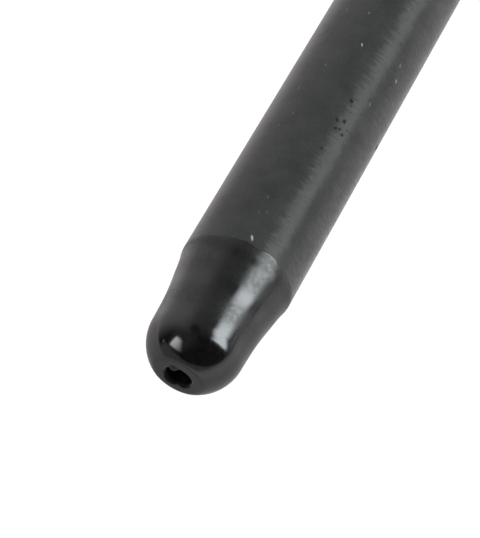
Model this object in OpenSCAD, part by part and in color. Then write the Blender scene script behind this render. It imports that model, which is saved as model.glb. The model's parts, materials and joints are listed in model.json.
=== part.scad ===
// Engine pushrod: one steel tube, both ends swaged down to a ball, with an oil way right through.
// The rod lies along X with its middle at the origin, and both ends are alike.

/* [Rod] */
// Overall length, from the flat tip of one ball to the flat tip of the other
rod_length = 209.55; // [120:0.05:320]
// Outside diameter of the tube
tube_d = 9.525; // [8.6:0.005:12.7]
// Wall thickness of the tube
tube_wall = 2.032; // [1:0.001:3]

/* [Swaged ends] */
// Diameter of the ball at each end
ball_d = 7.9375; // [6.5:0.0005:8.3]
// Diameter of the flat that is faced on the tip of each ball
tip_flat_d = 4.28; // [3.6:0.01:5.4]
// Distance from the ball's centre to where the neck opens into the cone
neck_length = 2.37; // [1.2:0.01:4.5]
// How much the neck widens on its way from the ball to the cone, measured on the radius
neck_flare = 0.07; // [0:0.01:0.25]
// Distance from the ball's centre to the shoulder, where the tube has its full diameter
shoulder_distance = 6.65; // [5.5:0.01:14]
// Length of the steeper shoulder between the tube and the cone
shoulder_length = 0.7; // [0.3:0.01:0.9]
// Depth of the shoulder's narrow end below the surface of the tube
shoulder_drop = 0.19; // [0.05:0.01:0.25]

/* [Oil way] */
// Diameter of the oil hole in each ball
oil_hole_d = 2.05; // [1:0.01:2.6]
// Radius of the rounded edge of the oil hole's mouth
mouth_round = 0.35; // [0.05:0.01:0.45]

/* [Hidden] */
$fn = 96;

// Radii
tube_r = tube_d / 2;
bore_r = tube_r - tube_wall;
ball_r = ball_d / 2;
oil_hole_r = oil_hole_d / 2;
mouth_r = oil_hole_r + mouth_round;
neck_r = ball_r + neck_flare;
cone_r = tube_r - shoulder_drop;

// Heights above the ball's centre, towards the tip
tip_h = sqrt(pow(ball_r, 2) - pow(tip_flat_d / 2, 2));
neck_h = -neck_length;
shoulder_h = -shoulder_distance;
cone_h = shoulder_h + shoulder_length;
middle_h = tip_h - rod_length / 2;

// Half of the tube, from the middle of the rod to the shoulder
module tube_profile() {
    polygon([[0, middle_h], [tube_r, middle_h], [tube_r, shoulder_h], [0, shoulder_h]]);
}

// The shoulder and the cone that close the tube in, and the nearly straight neck behind the ball
module nose_profile() {
    polygon([
        [0, shoulder_h], [tube_r, shoulder_h], [cone_r, cone_h], [neck_r, neck_h], [ball_r, 0], [0, 0]
    ]);
}

// The round face of the ball, from its neck to the flat on its tip
module ball_profile() {
    intersection() {
        circle(ball_r);
        square([ball_r, tip_h]);
    }
}

// The oil way: the tube's bore narrows along the cone to the oil hole, whose mouth is rounded
module oil_way_profile() {
    round_h = tip_h - mouth_round;
    polygon([
        [0, middle_h], [bore_r, middle_h], [bore_r, shoulder_h], [oil_hole_r, neck_h], [oil_hole_r, round_h],
        [0, round_h]
    ]);
    difference() {
        translate([0, round_h]) square([mouth_r, ball_r]);
        translate([mouth_r, round_h]) circle(mouth_round);
    }
}

// Half of the rod in section, standing on the rod's middle
module half_rod_profile() {
    translate([0, -middle_h]) difference() {
        union() {
            tube_profile();
            nose_profile();
            ball_profile();
        }
        oil_way_profile();
    }
}

module pushrod() {
    color("#3c3e3c")
    rotate([0, 90, 0])
    rotate_extrude() {
        half_rod_profile();
        mirror([0, 1]) half_rod_profile();
    }
}

pushrod();
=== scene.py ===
# Looks of the engine pushrod: a finely turned rod over the CAD solid, its finishes, and a plain white studio.
import bpy
import json
import math
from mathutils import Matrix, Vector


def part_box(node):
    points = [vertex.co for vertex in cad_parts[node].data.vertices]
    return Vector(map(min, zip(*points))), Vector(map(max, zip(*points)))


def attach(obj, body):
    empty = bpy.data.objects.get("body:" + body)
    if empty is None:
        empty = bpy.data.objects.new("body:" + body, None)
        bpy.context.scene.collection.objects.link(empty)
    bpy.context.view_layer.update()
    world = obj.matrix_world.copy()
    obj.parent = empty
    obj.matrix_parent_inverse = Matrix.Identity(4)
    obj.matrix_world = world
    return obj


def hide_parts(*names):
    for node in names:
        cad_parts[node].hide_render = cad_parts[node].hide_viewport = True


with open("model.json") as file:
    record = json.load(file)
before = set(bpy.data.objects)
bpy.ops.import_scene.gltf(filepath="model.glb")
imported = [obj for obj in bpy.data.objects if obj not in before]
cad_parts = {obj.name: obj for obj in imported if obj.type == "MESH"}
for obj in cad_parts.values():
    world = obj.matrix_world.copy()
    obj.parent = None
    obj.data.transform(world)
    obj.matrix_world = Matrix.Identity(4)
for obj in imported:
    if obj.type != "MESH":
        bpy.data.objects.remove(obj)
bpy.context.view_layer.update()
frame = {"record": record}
mm = 0.001
mounts = {mount["name"]: mount for mount in frame["record"]["mounts"]}


# one wrapped socket: plain maths on it adds Math nodes, and node() adds any other node
class Wire:
    def __init__(self, tree, socket=None):
        self.tree = tree
        self.socket = socket

    def node(self, kind, settings=None, sockets=None, out=0):
        made = self.tree.nodes.new(kind)
        for key, value in (settings or {}).items():
            if key == "stops":
                ramp = made.color_ramp.elements
                while len(ramp) < len(value):
                    ramp.new(0.5)
                for stop, (place, colour) in zip(ramp, value):
                    stop.position = place
                    stop.color = (*colour, 1)
            else:
                setattr(made, key, value)
        for key, value in (sockets or {}).items():
            if isinstance(value, Wire):
                self.tree.links.new(value.socket, made.inputs[key])
            else:
                made.inputs[key].default_value = value
        return Wire(self.tree, made.outputs[out] if made.outputs else None)

    def maths(self, operation, *values):
        return self.node("ShaderNodeMath", {"operation": operation}, dict(enumerate(values)))

    def __add__(self, other):
        return self.maths("ADD", self, other)

    def __radd__(self, other):
        return self.maths("ADD", other, self)

    def __sub__(self, other):
        return self.maths("SUBTRACT", self, other)

    def __rsub__(self, other):
        return self.maths("SUBTRACT", other, self)

    def __mul__(self, other):
        return self.maths("MULTIPLY", self, other)

    def __rmul__(self, other):
        return self.maths("MULTIPLY", other, self)

    def __abs__(self):
        return self.maths("ABSOLUTE", self)

    def atLeast(self, other):
        return self.maths("MAXIMUM", self, other)

    def step(self, low, high):  # 0 below low, 1 above high, smooth between
        return self.node("ShaderNodeMapRange", {"interpolation_type": "SMOOTHSTEP"},
                         {"Value": self, "From Min": low, "From Max": high})

    def blend(self, low, high):  # two colours mixed by this value
        return self.node("ShaderNodeMix", {"data_type": "RGBA"}, {0: self, 6: low, 7: high}, out=2)

    def between(self, first, second):  # two shaders mixed by this value
        return self.node("ShaderNodeMixShader", {}, {0: self, 1: first, 2: second})

    def coords(self, kind):
        return self.node("ShaderNodeTexCoord", out=kind)

    def layer(self, name):  # a number that the mesh keeps at each of its points
        return self.node("ShaderNodeAttribute", {"attribute_name": name}, out="Fac")

    def part(self, axis):  # one of a vector's three numbers
        return self.node("ShaderNodeSeparateXYZ", {}, {"Vector": self}, out=axis)

    def stretch(self, size):  # coordinates scaled along each axis
        return self.node("ShaderNodeMapping", {}, {"Vector": self, "Scale": size})

    def noise(self, scale, detail, rough):
        return self.node("ShaderNodeTexNoise", {}, {"Vector": self, "Scale": scale, "Detail": detail,
                                                    "Roughness": rough})

    def offMiddle(self):  # a noise's distance from its middle value
        return self - 0.5

    def vector(self, operation, *values, out="Vector"):
        return self.node("ShaderNodeVectorMath", {"operation": operation}, dict(enumerate(values)), out)

    def principled(self, sockets):
        return self.node("ShaderNodeBsdfPrincipled", {}, sockets)


def newMaterial(name):
    made = bpy.data.materials.new(name)
    made.use_nodes = True
    made.node_tree.nodes.clear()
    return made, Wire(made.node_tree)


def finishMaterial(start, shader):
    start.node("ShaderNodeOutputMaterial", {}, {"Surface": shader})


def deselectAll():
    if bpy.context.mode != "OBJECT":
        bpy.ops.object.mode_set(mode="OBJECT")
    bpy.ops.object.select_all(action="DESELECT")


def pick(piece):  # the only one selected, and the active one
    deselectAll()
    piece.select_set(True)
    bpy.context.view_layer.objects.active = piece


# the camera stands where the photograph was taken from: near the tip, looking steeply down along the rod
view = {
    "place": (-0.1751745, -0.0391791, 0.1321462),
    "down": 55.607,  # degrees below level
    "heading": 25.708,  # degrees from +X towards +Y
    "lens": 135.169,
    "sensor": 36,
    "clip": (0.01, 50),
}
bpy.ops.object.camera_add(location=view["place"],
                          rotation=(math.radians(90 - view["down"]), 0, math.radians(view["heading"] - 90)))
camera = bpy.context.object
camera.name = "photoCamera"
camera.data.lens = view["lens"]
camera.data.sensor_width = view["sensor"]
camera.data.clip_start, camera.data.clip_end = view["clip"]
bpy.context.scene.camera = camera
print("camera set, lens", camera.data.lens)


# the rod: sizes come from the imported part, the rest repeats its drawing
rodShape = {
    "neckLength": 2.37 * mm,
    "neckFlare": 0.07 * mm,
    "shoulderLength": 0.7 * mm,
    "shoulderDrop": 0.19 * mm,
    "wall": 2.032 * mm,
    "ballRadius": 3.96875 * mm,
    "tipEase": 0.8 * mm,  # rounding between the flat tip and the ball
    "neckEase": 1.2 * mm,  # half lengths over which the corners of the drawing are eased
    "coneEase": 0.3 * mm,
    "shoulderEase": 0.3 * mm,
    "lipSteps": 12,
    "tipSteps": 8,
    "flatSteps": 7,
    "ballSteps": 32,
    "noseStep": 0.15 * mm,
    "landSteps": 6,  # rings from the start of the shoulder's rounding to the finish line
    "turnSteps": 192,  # faces round the rod
    "fineStretch": 34 * mm,  # closely ringed stretch of tube behind the end that carries the marks
    "fineRing": 0.6 * mm,
    "coarseRing": 4.0 * mm,
    "wayIn": (0.15, 0.3, 0.5, 0.8, 1.5, 3.0),  # rings in the oil hole, in mm from where its lip ends
    "mergeGap": 0.0005 * mm,
    "smoothBelow": 40,  # degrees between faces
}
tubeR = mounts["shank"]["dims"]["r_mm"] * mm
shoulderX = mounts["shank"]["dims"]["length_mm"] * mm / 2
ballX = abs(mounts["lifter_ball"]["pos_m"][0])
hole = mounts["lifter_oil_hole"]
holeR = hole["dims"]["r_mm"] * mm
holeMid = abs(hole["pos_m"][0])
holeHalf = hole["dims"]["length_mm"] * mm / 2
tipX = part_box("pushrod")[1][0]
lip = tipX - holeMid - holeHalf  # rounding of the hole's mouth
lipR = holeR + lip
throatX = holeMid - holeHalf  # where the hole opens into the bore's cone
ballR = rodShape["ballRadius"]
boreR = tubeR - rodShape["wall"]
midWall = (tubeR + boreR) / 2  # parts the outside of the tube from its bore
neckTilt = math.atan(rodShape["neckFlare"] / rodShape["neckLength"])
neckX = ballR * math.sin(neckTilt)  # the ball runs into the neck a little before its widest ring
play = 0.01 * mm  # allowed when a point is matched with its ring

# where the glossy end gives way to the matt tube: degrees round the rod from the top towards +Y,
# and millimetres behind the ball's centre
finishLine = {
    "mean": 7.25,
    "path": [(-180, 7.08), (-158, 7.2), (-140, 7.12), (-120, 7.26), (-100, 7.1), (-80, 7.16), (-70, 7.29),
             (-58, 7.24), (-46, 7.27), (-41, 7.46), (-33, 7.5), (-25, 7.36), (-20, 7.31), (-11, 7.41),
             (-1, 7.36), (12, 7.16), (30, 7.07), (50, 7.01), (62, 6.91), (80, 6.96), (98, 7.12), (118, 7.02),
             (140, 7.18), (160, 7.01), (180, 7.08)],
    "rim": 0.17,  # width of the gloss's edge that carries a painted highlight, in mm
    "highlightTurn": -36,  # where round the rod that painted highlight is strongest, on the soft box's side, in degrees
    "dirtAndShade": 0.3,  # painted shadow line along the finish line, away from its painted highlight
    "farTurn": 128,  # the far end has the same kind of line, turned round
}
finishS = finishLine["mean"] * mm  # distances behind the ball's centre
rimS = finishS - finishLine["rim"] * mm
landS = ballX - shoulderX - rodShape["shoulderEase"]
finishX = ballX - finishS


def noseRadius(s):  # radius at a distance behind the ball's centre, the drawing's corners eased
    shape = rodShape
    coneEnd = ballX - shoulderX - shape["shoulderLength"]
    corners = [(-neckX, ballR * math.cos(neckTilt), 0),
               (shape["neckLength"], ballR + shape["neckFlare"], shape["neckEase"]),
               (coneEnd, tubeR - shape["shoulderDrop"], shape["coneEase"]),
               (ballX - shoulderX, tubeR, shape["shoulderEase"]),
               (ballX, tubeR, 0)]
    slopes = [(b[1] - a[1]) / (b[0] - a[0]) for a, b in zip(corners, corners[1:])]
    for k in range(len(slopes)):
        if s <= corners[k + 1][0]:
            break
    radius = corners[k][1] + slopes[k] * (s - corners[k][0])
    for j in range(1, len(slopes)):
        place, _, ease = corners[j]
        if abs(s - place) < ease:
            bend = slopes[j] - slopes[j - 1]
            radius += bend * (ease - abs(s - place)) ** 2 / (4 * ease)
    return radius


def endOutline():  # (x, radius) from the hole over its lip, the flat tip and the ball to the finish line
    shape = rodShape
    ease = shape["tipEase"]
    points = []
    for k in range(shape["lipSteps"] + 1):
        turn = math.pi / 2 * k / shape["lipSteps"]
        points.append((tipX - lip + lip * math.sin(turn), lipR - lip * math.cos(turn)))
    easeX = tipX - ease
    easeR = math.sqrt((ballR - ease) ** 2 - (easeX - ballX) ** 2)
    leave = math.atan2(easeR, easeX - ballX)  # where the rounded edge of the flat runs into the ball
    flat = easeR - holeR - lip
    points += [(tipX, lipR + flat * k / shape["flatSteps"]) for k in range(1, shape["flatSteps"])]
    for k in range(shape["tipSteps"]):
        turn = leave * k / shape["tipSteps"]
        points.append((easeX + ease * math.cos(turn), easeR + ease * math.sin(turn)))
    for k in range(shape["ballSteps"] + 1):
        turn = leave + (math.pi / 2 - neckTilt - leave) * k / shape["ballSteps"]
        points.append((ballX + ballR * math.cos(turn), ballR * math.sin(turn)))
    s = shape["noseStep"] - neckX
    while s < landS - shape["noseStep"] / 2:
        points.append((ballX - s, noseRadius(s)))
        s += shape["noseStep"]
    for k in range(shape["landSteps"] + 1):
        s = landS + (rimS - landS) * k / shape["landSteps"]
        points.append((ballX - s, noseRadius(s)))
    return points + [(finishX, tubeR)]


def rodOutline():  # the closed half section: outside from -X to +X, then back through the oil way
    half = endOutline()
    outside = [(-x, r) for x, r in half]
    reach = half[-1][0]
    fine = int(rodShape["fineStretch"] / rodShape["fineRing"])
    outside += [(-reach + rodShape["fineRing"] * k, tubeR) for k in range(1, fine)]
    start = outside[-1][0]
    rings = int((reach - start) / rodShape["coarseRing"])
    outside += [(start + (reach - start) * k / rings, tubeR) for k in range(1, rings)]
    outside += half[::-1]
    wayIn = [(half[0][0] - step * mm, holeR) for step in rodShape["wayIn"]]
    wayIn += [(throatX, holeR), (shoulderX, boreR), (shoulderX / 2, boreR)]
    return outside + wayIn + [(0, boreR)] + [(-x, r) for x, r in wayIn[::-1]]


outline = rodOutline()
mouthX = outline[0][0]  # where the lip meets the straight hole
deselectAll()
bpy.ops.mesh.primitive_plane_add(size=mm, location=(outline[0][0], 0, outline[0][1]))
rod = bpy.context.object
rod.name = "blackRod"
bpy.ops.object.transform_apply(location=True, rotation=True, scale=True)
bpy.ops.object.mode_set(mode="EDIT")
bpy.ops.mesh.select_all(action="SELECT")
bpy.ops.mesh.merge(type="CENTER")  # one corner, drawn out along the section
for (xA, rA), (xB, rB) in zip(outline, outline[1:] + outline[:1]):
    bpy.ops.mesh.extrude_vertices_move(TRANSFORM_OT_translate={"value": (xB - xA, 0, rB - rA)})
bpy.ops.mesh.select_all(action="SELECT")
bpy.ops.mesh.remove_doubles(threshold=rodShape["mergeGap"])
bpy.ops.mesh.spin(steps=rodShape["turnSteps"], angle=2 * math.pi, center=(0, 0, 0), axis=(1, 0, 0))
bpy.ops.mesh.select_all(action="SELECT")
bpy.ops.mesh.remove_doubles(threshold=rodShape["mergeGap"])
bpy.ops.mesh.normals_make_consistent(inside=False)
bpy.ops.object.mode_set(mode="OBJECT")
print("rod turned:", len(rod.data.vertices), "points,", len(rod.data.polygons), "faces")

# faces by finish: matt tube, glossy ends with the lips of their holes, and the oil way
for face in rod.data.polygons:
    x, y, z = face.center
    outwards = y * face.normal.y + z * face.normal.z
    if outwards < 0 and abs(x) < abs(mouthX):
        face.material_index = 2
    elif abs(x) > finishX:
        face.material_index = 1


def turnOf(y, z):  # degrees round the rod from the top towards +Y
    return math.degrees(math.atan2(y, z))


def wrapped(degrees):  # the same angle from -180 to 180
    return (degrees + 180) % 360 - 180


def along(path, degrees):  # smooth value on a list of (degrees, value)
    degrees = wrapped(degrees)
    for (a, low), (b, high) in zip(path, path[1:]):
        if a <= degrees <= b:
            share = (1 - math.cos(math.pi * (degrees - a) / (b - a))) / 2
            return low + (high - low) * share
    return path[0][1]


def addLayers(*names):
    for name in names:
        rod.data.attributes.new(name, "FLOAT", "POINT")


def setLayer(name, point, value):
    rod.data.attributes[name].data[point.index].value = value


addLayers("rim", "grime", "rust")
for point in rod.data.vertices:
    x, y, z = point.co
    away = math.hypot(y, z)
    s = ballX - abs(x)
    if landS < s < finishS + play and away > midWall:
        degrees = turnOf(y, z) + (finishLine["farTurn"] if x > 0 else 0)
        # painted highlight along the finish line's edge, strongest on the soft box's side
        rim = max(0, math.cos(math.radians(degrees - finishLine["highlightTurn"]))) ** 2
        if s > finishS - play:
            setLayer("rim", point, rim)
        share = min(1, (s - landS) / rodShape["shoulderEase"])
        # painted shadow along the finish line, where its edge carries no painted highlight
        setLayer("grime", point, finishLine["dirtAndShade"] * (1 - rim) * share)
        shift = (along(finishLine["path"], degrees) - finishLine["mean"]) * mm
        s += shift * min(1, (s - landS) / (rimS - landS))
        scale = noseRadius(s) / away
        point.co = (math.copysign(ballX - s, x), y * scale, z * scale)


# a rusty lump on the upper lip of the oil hole, at the end that the photograph shows
lump = {
    "turn": 17.0,  # degrees round the rod
    "inwards": 0.36 * mm,  # from the edge of the flat tip, over the lip and into the hole
    "halfWidth": 0.62 * mm,
    "halfLength": 0.55 * mm,
    "height": 0.3 * mm,
    "cover": 1.6,  # how soon the rust is full, from the lump's edge inwards
    "reach": 1 * mm,  # no point further than this from the lip is tried
}
for point in rod.data.vertices:
    x, y, z = point.co
    away = math.hypot(y, z)
    if x > mouthX + lump["reach"] or away > lipR + lump["reach"]:
        continue
    if away > lipR:
        inwards, outX, outR = lipR - away, -1, 0
    elif x < mouthX:
        outX, outR = (x - mouthX) / lip, (away - lipR) / lip
        inwards = lip * math.atan2(-outR, -outX)
    else:
        inwards, outX, outR = lip * math.pi / 2 + x - mouthX, 0, -1
    aside = math.radians(wrapped(turnOf(y, z) - lump["turn"])) * away
    share = (aside / lump["halfWidth"]) ** 2 + ((inwards - lump["inwards"]) / lump["halfLength"]) ** 2
    if share < 1:
        rise = lump["height"] * (1 - share) ** 2
        point.co.x = x + rise * outX
        point.co.y = y * (1 + rise * outR / away)
        point.co.z = z * (1 + rise * outR / away)
        setLayer("rust", point, min(1, lump["cover"] * (1 - share)))


# oily grime round the hole of the same end: degrees round the rod and how far it spreads, as a radius in mm
grime = {
    "edge": [(-180, 1.2), (-161, 1.4), (-142, 1.3), (-115, 1.14), (-91, 1.08), (-69, 1.08), (-46, 1.15),
             (-25, 1.2), (-9, 1.25), (20, 1.2), (50, 1.15), (78, 1.15), (108, 1.27), (129, 1.5), (145, 1.6),
             (163, 1.45), (173, 1.2), (180, 1.2)],
    "soft": 0.16,
}
for point in rod.data.vertices:
    x, y, z = point.co
    if x < mouthX + play:
        spread = along(grime["edge"], turnOf(y, z))
        share = (spread - math.hypot(y, z) / mm) / grime["soft"] + 0.5
        setLayer("grime", point, max(0, min(1, share)))


# small pits and dust on the tube: x in mm, degrees round the rod, radius and height in mm,
# and how dark or pale
marks = {
    "pits": [(-77.45, -26.9, 0.22, 0.06, 0.9), (-77.88, -28.9, 0.14, 0.03, 0.5),
             (-79.84, -23.9, 0.2, 0.05, 0.7), (-79.51, -31.1, 0.22, 0.06, 0.8),
             (-80.57, -26.6, 0.18, 0.05, 0.8), (-80.41, -30.5, 0.18, 0.05, 0.7),
             (-80.0, -38.4, 0.14, 0.03, 0.5), (-80.68, -36.2, 0.18, 0.05, 0.8),
             (-82.97, -24.5, 0.18, 0.04, 0.6), (-77.55, -95.0, 0.3, 0.26, 0.9)],
    "dust": [(-93.54, -10.9, 0.2, 0.04, 0.5), (-71.96, -8.3, 0.13, 0.03, 0.6),
             (-72.48, -60.2, 0.13, 0.03, 0.4), (-89.49, -4.3, 0.14, 0.02, 0.08),
             (-91.11, -4.2, 0.13, 0.02, 0.05), (-90.79, -10.8, 0.13, 0.02, 0.05),
             (-78.01, 28.2, 0.13, 0.02, 0.1), (-80.83, 18.2, 0.12, 0.02, 0.07),
             (-82.28, 25.6, 0.12, 0.02, 0.07), (-76.39, -46.1, 0.14, 0.02, 0.12),
             (-73.96, -73.6, 0.12, 0.02, 0.15), (-68.53, 2.2, 0.1, 0.02, 0.25),
             (-68.6, 26.7, 0.12, 0.02, 0.1), (-75.16, 14.2, 0.12, 0.02, 0.1),
             (-71.11, -54.6, 0.14, 0.02, 0.15)],
    "kinds": (("pits", -0.5, 1.0, 1.7), ("dust", 1, 0.6, 1.0)),  # share of the height, slimness, and shade: how strongly the colour is laid on, dirt and painted shade in pits, pale dust
    "slant": (0.87, 0.5),  # dust lies at 30 degrees to the rod
    "waves": ((0.12, 2, 5), (0.1, 3, 11)),  # uneven rims of the pits: size, waves in a turn, shift
    "reach": 1.2 * mm,  # marks further along the rod than this don't touch a point
    "margin": 0.4 * mm,  # finer faces round each mark
    "start": 0.3 * mm,  # behind the finish line
    "cuts": 6,
}


def markDistance(point, mark, slim=1.0):  # in metres along the tube's surface; dust is slim and slanting
    ahead = point[0] - mark[0] * mm
    aside = math.radians(wrapped(turnOf(point[1], point[2]) - mark[1])) * tubeR
    if slim < 1:
        cosine, sine = marks["slant"]
        return math.hypot((cosine * ahead + sine * aside) * slim, (cosine * aside - sine * ahead) / slim)
    bearing = math.atan2(aside, ahead)
    uneven = sum(size * math.sin(waves * bearing + shift * mark[0]) for size, waves, shift in marks["waves"])
    return math.hypot(ahead, aside) * (1 + uneven)


def nearMarks(point, group):
    return [mark for mark in group if abs(point[0] - mark[0] * mm) < marks["reach"]]


allMarks = marks["pits"] + marks["dust"]
pick(rod)
bpy.ops.object.mode_set(mode="EDIT")
bpy.ops.mesh.select_all(action="DESELECT")
bpy.ops.mesh.select_mode(type="FACE")
bpy.ops.object.mode_set(mode="OBJECT")
for face in rod.data.polygons:
    if face.material_index == 0:
        near = nearMarks(face.center, allMarks)
        face.select = any(markDistance(face.center, mark) < mark[2] * mm + marks["margin"] for mark in near)
bpy.ops.object.mode_set(mode="EDIT")
bpy.ops.mesh.subdivide(number_cuts=marks["cuts"])
bpy.ops.object.mode_set(mode="OBJECT")
addLayers("pits", "dust")
for point in rod.data.vertices:
    x, y, z = point.co
    away = math.hypot(y, z)
    if not -finishX + marks["start"] < x < -finishX + rodShape["fineStretch"] or away < midWall:
        continue
    rise = 0
    for group, lift, slim, depth in marks["kinds"]:
        shade = rod.data.attributes[group].data[point.index]
        for mark in nearMarks(point.co, marks[group]):
            share = markDistance(point.co, mark, slim) / (mark[2] * mm)
            if share < 1:
                bowl = (1 - share * share) ** 2
                # dirt and painted shade, darkest in a pit's middle; pale colour for dust
                shade.value = max(shade.value, min(1, depth * bowl ** 0.5) * mark[4])
                rise += lift * bowl * mark[3] * mm
    scale = (tubeR + rise) / away
    point.co.y = y * scale
    point.co.z = z * scale
pick(rod)
bpy.ops.object.shade_smooth_by_angle(angle=math.radians(rodShape["smoothBelow"]))
print("finish line and marks made:", len(rod.data.polygons), "faces")


oxideIor = 1.55
oilIor = 1.5
rustBrown = (0.05, 0.034, 0.025, 1)

# matt black oxide of the drawn tube, with fine marks running round it
mattBlack = {
    "dark": (0.0192, 0.0198, 0.0191, 1),
    "pale": (0.0332, 0.0342, 0.0332, 1),
    # near black laid on the pits: dirt and painted shade
    "pitDirtAndShade": (0.0025, 0.0025, 0.0025, 1),
    "dust": (0.6, 0.62, 0.63, 1),
    "rough": 0.195,
    "shine": 0.085,
    "haze": 0.23,  # dusty sheen, stronger towards the edges
    "hazeTint": (1.0, 0.95, 0.97, 1),
    "hazeRough": 0.5,
    "pitRough": 0.7,
    "pitShine": 0.1,
    "hairs": (8200, 1300, 1300),  # close along the rod, longer round it
    "hairNoise": (1.0, 2.0, 0.5),  # each noise's scale, detail and roughness
    "bendNoise": (180, 1.0, 0.4),
    "cloudNoise": (420, 3.0, 0.55),
    "grainNoise": (5200, 2.0, 0.6),
    "cloudShare": 0.6,  # shares of the tone, and where it turns from dark to pale
    "hairShare": 0.1,
    "grainShare": 0.3,
    "toneEdge": (0.3, 0.7),
    "hairRough": 0.03,  # what is added to the roughness
    "hairRoughEdge": (0.4, 0.65),
    "cloudRough": 0.08,
    "dustRough": 0.4,
    "soot": 0.13,  # how much the darker hairs are sunk in black
    "sootEdge": (0.45, 0.7),
    "hairTilt": 0.34,  # how far the fine marks and the slow bends turn the surface round the rod
    "bendTilt": 0.08,
    "paleBand": 0.13,  # a paler band next to the glossy end
    "paleBandReach": 3 * mm,
}


def makeMattBlack():
    look = mattBlack
    material, start = newMaterial("mattBlack")
    place = start.coords("Object")
    hairs = place.stretch(look["hairs"]).noise(*look["hairNoise"])
    bends = place.noise(*look["bendNoise"])
    cloud = place.noise(*look["cloudNoise"])
    grain = place.noise(*look["grainNoise"])
    pitDirtAndShade = start.layer("pits")
    dust = start.layer("dust")
    paleBand = look["paleBand"] * abs(place.part("X")).step(finishX - look["paleBandReach"], finishX)
    tone = look["cloudShare"] * cloud + look["hairShare"] * hairs + look["grainShare"] * grain + paleBand
    colour = tone.step(*look["toneEdge"]).blend(look["dark"], look["pale"])
    colour = dust.blend(colour, look["dust"])
    rough = look["rough"] + look["hairRough"] * hairs.step(*look["hairRoughEdge"])
    rough = rough + look["cloudRough"] * cloud.offMiddle() + look["dustRough"] * dust
    tilt = look["hairTilt"] * hairs.offMiddle() + look["bendTilt"] * bends.offMiddle()
    tilt = tilt * (1 / tubeR)
    sway = start.node("ShaderNodeCombineXYZ", {}, {
        "Y": tilt * place.part("Z"), "Z": 0 - tilt * place.part("Y")})
    straight = start.node("ShaderNodeNewGeometry", out="Normal")
    turned = start.vector("NORMALIZE", start.vector("ADD", straight, sway))
    shader = start.principled({
        "Base Color": colour, "Roughness": rough, "IOR": oxideIor, "Specular IOR Level": look["shine"],
        "Normal": turned, "Sheen Weight": look["haze"], "Sheen Roughness": look["hazeRough"],
        "Sheen Tint": look["hazeTint"]})
    # near-black look for the pits, as dirt and painted shade, also sunk into the darker hairs
    hollow = start.principled({
        "Base Color": look["pitDirtAndShade"], "Roughness": look["pitRough"], "Specular IOR Level": look["pitShine"]})
    sunk = pitDirtAndShade.atLeast(look["soot"] * hairs.step(*look["sootEdge"]))
    finishMaterial(start, sunk.between(shader, hollow))
    return material


# glossy black of the swaged ends, with a dull, mottled film towards the finish line
glossBlack = {
    "dark": (0.0016, 0.0017, 0.0017, 1),
    "pale": (0.0036, 0.0038, 0.0037, 1),
    "dull": (0.01, 0.0103, 0.0096, 1),
    "film": [(place, (share,) * 3) for place, share in (
        (0.34, 0.0), (0.385, 0.18), (0.43, 0.5), (0.48, 0.8), (0.54, 0.8), (0.59, 0.58), (0.65, 0.05),
        (0.7, 0.05), (0.78, 0.75), (0.87, 0.65), (0.95, 0.62), (1.0, 0.85))],
    "filmLength": 10 * mm,  # from the tip to the last of those
    # dark layer for oily grime round the hole and the painted shadow along the finish line
    "grime": (0.0016, 0.0014, 0.0013, 1),
    "grimeAndShadeRough": 0.6,
    "grimeAndShadeShine": 0.1,
    "rough": 0.12,
    "cloudRough": 0.05,  # what is added to the roughness
    "filmRough": 0.1,
    "dullRough": 0.3,
    "dullShine": 0.3,
    "cloudNoise": (2400, 3.0, 0.55),  # each noise's scale, detail and roughness
    "grainNoise": (6500, 2.0, 0.5),
    "toneEdge": (0.35, 0.65),
    "mottleLeast": 0.55,  # the film where it is thinnest, and what the clouds add
    "mottleMore": 0.9,
    "mottleEdge": (0.3, 0.7),
    "highlightRimClean": 0.8,  # how far the film is kept off the edge that carries the painted highlight
    "grainDepth": 0.0006 * mm,
    "filmDepth": 2,  # the film's unevenness against the grain's
}


def makeGlossBlack():
    look = glossBlack
    material, start = newMaterial("glossBlack")
    place = start.coords("Object")
    behind = (tipX - abs(place.part("X"))) * (1 / look["filmLength"])
    film = start.node("ShaderNodeValToRGB", {"stops": look["film"]}, {"Fac": behind})
    rust = start.layer("rust")
    rim = start.layer("rim")
    grime = start.layer("grime")
    cloud = place.noise(*look["cloudNoise"])
    grain = place.noise(*look["grainNoise"])
    dull = film * (look["mottleLeast"] + look["mottleMore"] * cloud.step(*look["mottleEdge"]))
    # painted highlight: the film is kept off the finish line's edge on the soft box's side
    dull = dull * (1 - look["highlightRimClean"] * rim)
    colour = cloud.step(*look["toneEdge"]).blend(look["dark"], look["pale"])
    bump = start.node("ShaderNodeBump", {}, {"Strength": 1.0, "Distance": look["grainDepth"],
                                             "Height": grain + look["filmDepth"] * film * cloud})
    rough = look["rough"] + look["cloudRough"] * cloud.offMiddle() + look["filmRough"] * film
    bright = start.principled({"Base Color": colour, "Roughness": rough, "IOR": oxideIor, "Normal": bump})
    matt = start.principled({
        "Base Color": look["dull"], "Roughness": look["dullRough"], "IOR": oxideIor,
        "Specular IOR Level": look["dullShine"], "Normal": bump})
    dirtAndShade = start.principled({
        "Base Color": rust.blend(look["grime"], rustBrown), "Roughness": look["grimeAndShadeRough"], "IOR": oilIor,
        "Specular IOR Level": look["grimeAndShadeShine"]})
    # the dark layer takes rust, oily grime round the hole, and the painted shadow along the finish line
    finishMaterial(start, rust.atLeast(grime).between(dull.between(bright, matt), dirtAndShade))
    return material


# dark, oily inside of the bore and the oil holes
oilWay = {
    "dark": (0.0015, 0.0013, 0.0012, 1),
    "stain": (0.006, 0.0045, 0.0035, 1),
    "stainNoise": (1500, 3.0, 0.6),  # scale, detail and roughness
    "stainEdge": (0.45, 0.75),
    "rough": 0.6,
    "stainRough": 0.2,
    "shine": 0.25,
}


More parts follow.
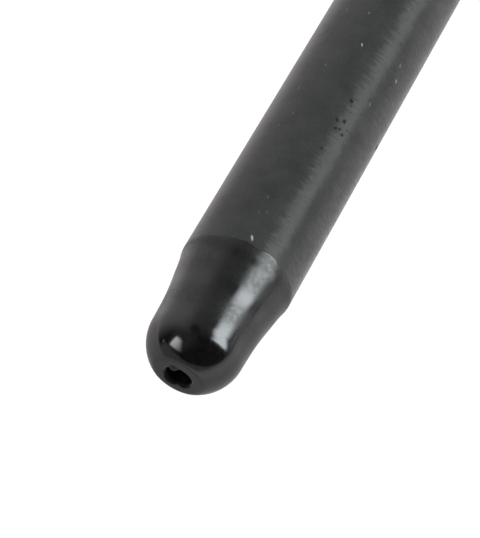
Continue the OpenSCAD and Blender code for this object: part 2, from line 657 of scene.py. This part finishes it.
def makeOilWay():
    look = oilWay
    material, start = newMaterial("oilWay")
    stain = start.coords("Object").noise(*look["stainNoise"])
    colour = stain.step(*look["stainEdge"]).blend(look["dark"], look["stain"])
    colour = start.layer("rust").blend(colour, rustBrown)
    rough = look["rough"] + look["stainRough"] * stain.offMiddle()
    finishMaterial(start, start.principled({
        "Base Color": colour, "Roughness": rough, "IOR": oilIor, "Specular IOR Level": look["shine"]}))
    return material


for material in (makeMattBlack(), makeGlossBlack(), makeOilWay()):
    rod.data.materials.append(material)
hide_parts("pushrod")
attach(rod, "root")
print("finishes on:", [m.name for m in rod.data.materials])


# white studio: a bright floor, a soft box to the right, small panels to the left, and a room that is
# bright beyond the rod and dark behind the camera
roomTurn = math.radians(8)
studio = {
    "floorSize": 8.0,
    "white": 1.06,  # what the camera sees round the rod
    "floorTint": (1.0, 0.96, 0.96),
    "floorNear": 0.52,  # glow that the rod gets from the floor close by and further off; the lower glow close by is a painted shadow of the rod
    "floorFar": 1.06,
    "floorReach": (3 * mm, 24 * mm),
    "floorSides": (1.22, 1.12),  # more on the soft box's side, less in the rod's shade
    "floorSidesEdge": (-4 * mm, 4 * mm),
    "floorFade": 0.39,  # what is left far off and behind the camera
    "floorFadeRight": (0.03, 0.16),
    "floorFadeBack": (-0.2, -0.105),
    "tipShade": 0.32,  # the rod's own shade in front of its tip and to the left of it
    "tipShadeEdge": (-14 * mm, -4 * mm),
    "tipShadeSide": (-7 * mm, 1 * mm),
    "tipShadeReach": (25 * mm, 80 * mm),
    "floorTop": 20,  # more than the floor and the room ever glow
    "roomTop": 10,
    "room": 0.95,
    "roomLeast": 0.05,
    "roomTowards": (math.cos(roomTurn), math.sin(roomTurn), 0.0),
    "roomEdge": (-0.3, 0.35),
    "overheadDark": 0.68,
    "overhead": (0.25, -0.25, 0.935),
    "overheadEdge": (0.6, 1.0),
    "ceiling": 0.18,  # faint patch of light above and behind the camera
    "ceilingTowards": (-0.4, 0.3, 0.866),
    "ceilingEdge": (0.8, 1.0),
    "blot": 0.7,  # small dark patch overhead
    "blotTowards": (0.0, 0.076, 0.997),
    "blotEdge": (0.975, 0.995),
}
noLight = (0, 0, 0, 1)
panelRim = 0.001  # keeps a panel's hard edges lit to the end


def emission(start, colour, strength=1.0):
    return start.node("ShaderNodeEmission", {}, {"Color": colour, "Strength": strength})


def makePanel(name, low, high, near, far, span, soft):  # a glowing sheet that the camera doesn't see
    deselectAll()
    columns = len(low) - 1
    bpy.ops.mesh.primitive_grid_add(x_subdivisions=columns, y_subdivisions=1, size=1)
    panel = bpy.context.object
    panel.name = name
    for point in panel.data.vertices:
        row = high if point.co.y > 0 else low
        point.co = row[round((point.co.x + 0.5) * columns)]
    material, start = newMaterial(name + "Glow")
    x = start.coords("Object").part("X")
    sheet = start.coords("UV")
    u = sheet.part("X")
    v = sheet.part("Y")
    level = u.step(-panelRim, soft[0]) * (1 - u.step(1 - soft[1], 1 + panelRim))
    level = level * v.step(-panelRim, soft[2]) * (1 - v.step(1 - soft[3], 1 + panelRim))
    colour = x.step(*span).blend((*near, 1), (*far, 1))
    finishMaterial(start, emission(start, level.blend(noLight, colour)))
    panel.data.materials.append(material)
    panel.visible_camera = False


deselectAll()
bpy.ops.mesh.primitive_plane_add(size=studio["floorSize"], location=(0, 0, -tubeR))
floor = bpy.context.object
floor.name = "whiteFloor"
bpy.ops.object.transform_apply(location=True, rotation=True, scale=True)
material, start = newMaterial("floorWhite")
place = start.coords("Object")
lengthways = place.part("X")
across = place.part("Y")
beyond = (abs(lengthways) - tipX + tubeR).atLeast(0.0)
away = beyond.maths("SQRT", across * across + beyond * beyond)  # from the rod
# painted shadow in the floor's glow: lower close to the rod, on its shaded side and in front of its tip
spread = studio["floorNear"] + (studio["floorFar"] - studio["floorNear"]) * away.step(*studio["floorReach"])
lit, shaded = studio["floorSides"]
spread = spread * (lit + (shaded - lit) * across.step(*studio["floorSidesEdge"]))
fade = (0 - across).step(*studio["floorFadeRight"]).atLeast(1 - lengthways.step(*studio["floorFadeBack"]))
spread = spread * (1 - (1 - studio["floorFade"]) * fade)
ahead = abs(lengthways) - tipX
shade = ahead.step(*studio["tipShadeEdge"]) * across.step(*studio["tipShadeSide"])
shade = shade * (1 - away.step(*studio["tipShadeReach"]))
spread = spread * (1 - studio["tipShade"] * shade)
brightest = (*[studio["floorTop"] * c for c in studio["floorTint"]], 1)
cast = emission(start, (spread * (1 / studio["floorTop"])).blend(noLight, brightest))
plain = emission(start, (1, 1, 1, 1), studio["white"])
seen = start.node("ShaderNodeLightPath", out="Is Camera Ray")  # the camera itself sees plain white
finishMaterial(start, seen.between(cast, plain))
floor.data.materials.append(material)

softBox = {
    "low": [(-0.08, -0.3, 0.022), (-0.052, -0.3, 0.022), (-0.02, -0.3, 0.046), (0.018, -0.3, 0.07),
            (0.05, -0.3, 0.042), (0.064, -0.3, 0.028), (0.1, -0.3, 0.062), (0.6, -0.3, 0.16)],
    "high": [(-0.125, -0.3, 0.475), (-0.046, -0.3, 0.47), (0.015, -0.3, 0.54), (0.084, -0.3, 0.575),
             (0.15, -0.3, 0.588), (0.175, -0.3, 0.58), (0.2, -0.3, 0.48), (0.6, -0.3, 0.45)],
    "near": (9.5, 10.1, 10.4),
    "far": (6.5, 6.6, 6.65),
    "span": (0.09, 0.16),
    "soft": (0.0, 0.0, 0.22, 0.55),
}
sidePanel = {
    "low": [(-0.37, 0.04, 0.142), (-0.284, 0.214, 0.108)],
    "high": [(-0.255, 0.075, 0.245), (-0.218, 0.178, 0.224)],
    "near": (4.6, 4.5, 4.5),
    "far": (7.2, 7.0, 7.1),
    "span": (-0.36, -0.25),
    "soft": (0.85, 0.08, 0.12, 0.2),
}
smallLamp = {
    "low": [(-0.239, 0.258, 0.052), (-0.226, 0.266, 0.052)],
    "high": [(-0.239, 0.258, 0.07), (-0.226, 0.266, 0.07)],
    "near": (4.0, 3.9, 3.9),
    "far": (4.0, 3.9, 3.9),
    "span": (-0.4, -0.2),
    "soft": (0.2, 0.2, 0.2, 0.2),
}
backCard = {
    "low": [(-0.21, 0.28, 0), (-0.297, 0.23, 0), (-0.364, 0.15, 0), (-0.392, 0.083, 0), (-0.403, 0.021, 0),
            (-0.395, -0.073, 0), (-0.358, -0.159, 0), (-0.297, -0.23, 0), (-0.231, -0.272, 0)],
    "high": [(-0.21, 0.28, 0.055), (-0.297, 0.23, 0.115), (-0.364, 0.15, 0.132), (-0.392, 0.083, 0.13),
             (-0.403, 0.021, 0.102), (-0.395, -0.073, 0.078), (-0.358, -0.159, 0.045), (-0.297, -0.23, 0.012),
             (-0.231, -0.272, 0.006)],
    "near": (0.46, 0.46, 0.46),
    "far": (0.55, 0.55, 0.55),
    "span": (-0.4, -0.2),
    "soft": (0.1, 0.0, 0.0, 0.3),
}
panels = {"softBox": softBox, "sidePanel": sidePanel, "smallLamp": smallLamp, "backCard": backCard}
for name, panel in panels.items():
    makePanel(name, **panel)

world = bpy.data.worlds.new("studioRoom")
bpy.context.scene.world = world
world.use_nodes = True
world.node_tree.nodes.clear()
start = Wire(world.node_tree)
towards = start.coords("Generated")


def facing(direction, edge):  # how far a line of sight runs with a direction
    return start.vector("DOT_PRODUCT", towards, direction, out="Value").step(*edge)


def background(colour, strength):
    return start.node("ShaderNodeBackground", {}, {"Color": colour, "Strength": strength})


bright = studio["room"] * facing(studio["roomTowards"], studio["roomEdge"])
bright = bright * (1 - studio["overheadDark"] * facing(studio["overhead"], studio["overheadEdge"]))
bright = bright + studio["ceiling"] * facing(studio["ceilingTowards"], studio["ceilingEdge"])
bright = bright * (1 - studio["blot"] * facing(studio["blotTowards"], studio["blotEdge"]))
bright = (1 / studio["roomTop"]) * (studio["roomLeast"] + bright)
room = background(bright.blend(noLight, (*[studio["roomTop"]] * 3, 1)), 1.0)
plain = background((1, 1, 1, 1), studio["white"])
seen = start.node("ShaderNodeLightPath", out="Is Camera Ray")
start.node("ShaderNodeOutputWorld", {}, {"Surface": seen.between(room, plain)})
bpy.context.scene.view_settings.view_transform = "Standard"
print("studio lit")
